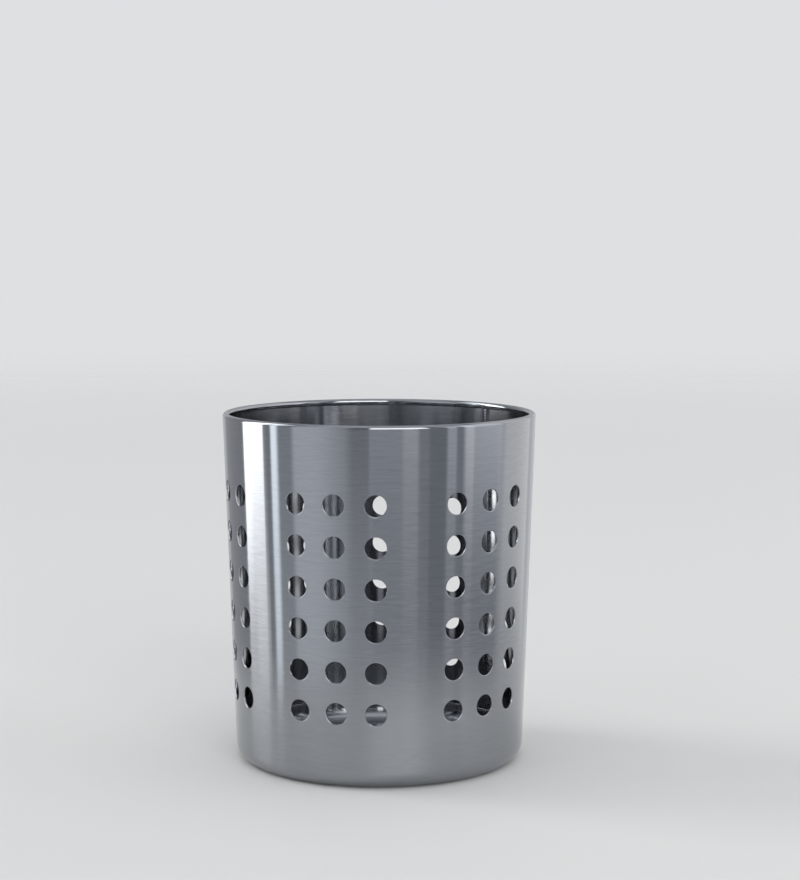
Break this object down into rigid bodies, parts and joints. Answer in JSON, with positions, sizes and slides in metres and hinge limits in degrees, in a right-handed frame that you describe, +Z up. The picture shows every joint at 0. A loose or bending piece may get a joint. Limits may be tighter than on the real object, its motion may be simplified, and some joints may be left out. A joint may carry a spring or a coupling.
{
  "type": "utensil holder",
  "caption": "Round, open-topped utensil holder of thin brushed steel sheet, slightly tapered, with groups of round holes through its wall and a curled rim.",
  "frame": {"origin": "centre of the foot ring, at the height of the surface that the holder stands on", "axes": "+Z up along the cup's axis, from the foot to the mouth; -Y is the front, where a group of holes is centred"},
  "size_m": [0.12, 0.12, 0.134],
  "materials": {
    "brushed_sheet": "brushed round the cup",
    "pressed_base": "satin",
    "ground_weld": "ground"
  },
  "bodies": {
    "root": {"perforated_wall": "brushed_sheet", "wall_seam_weld": "ground_weld", "base_pan": "pressed_base", "base_ring_weld": "ground_weld"}
  },
  "joints": []
}
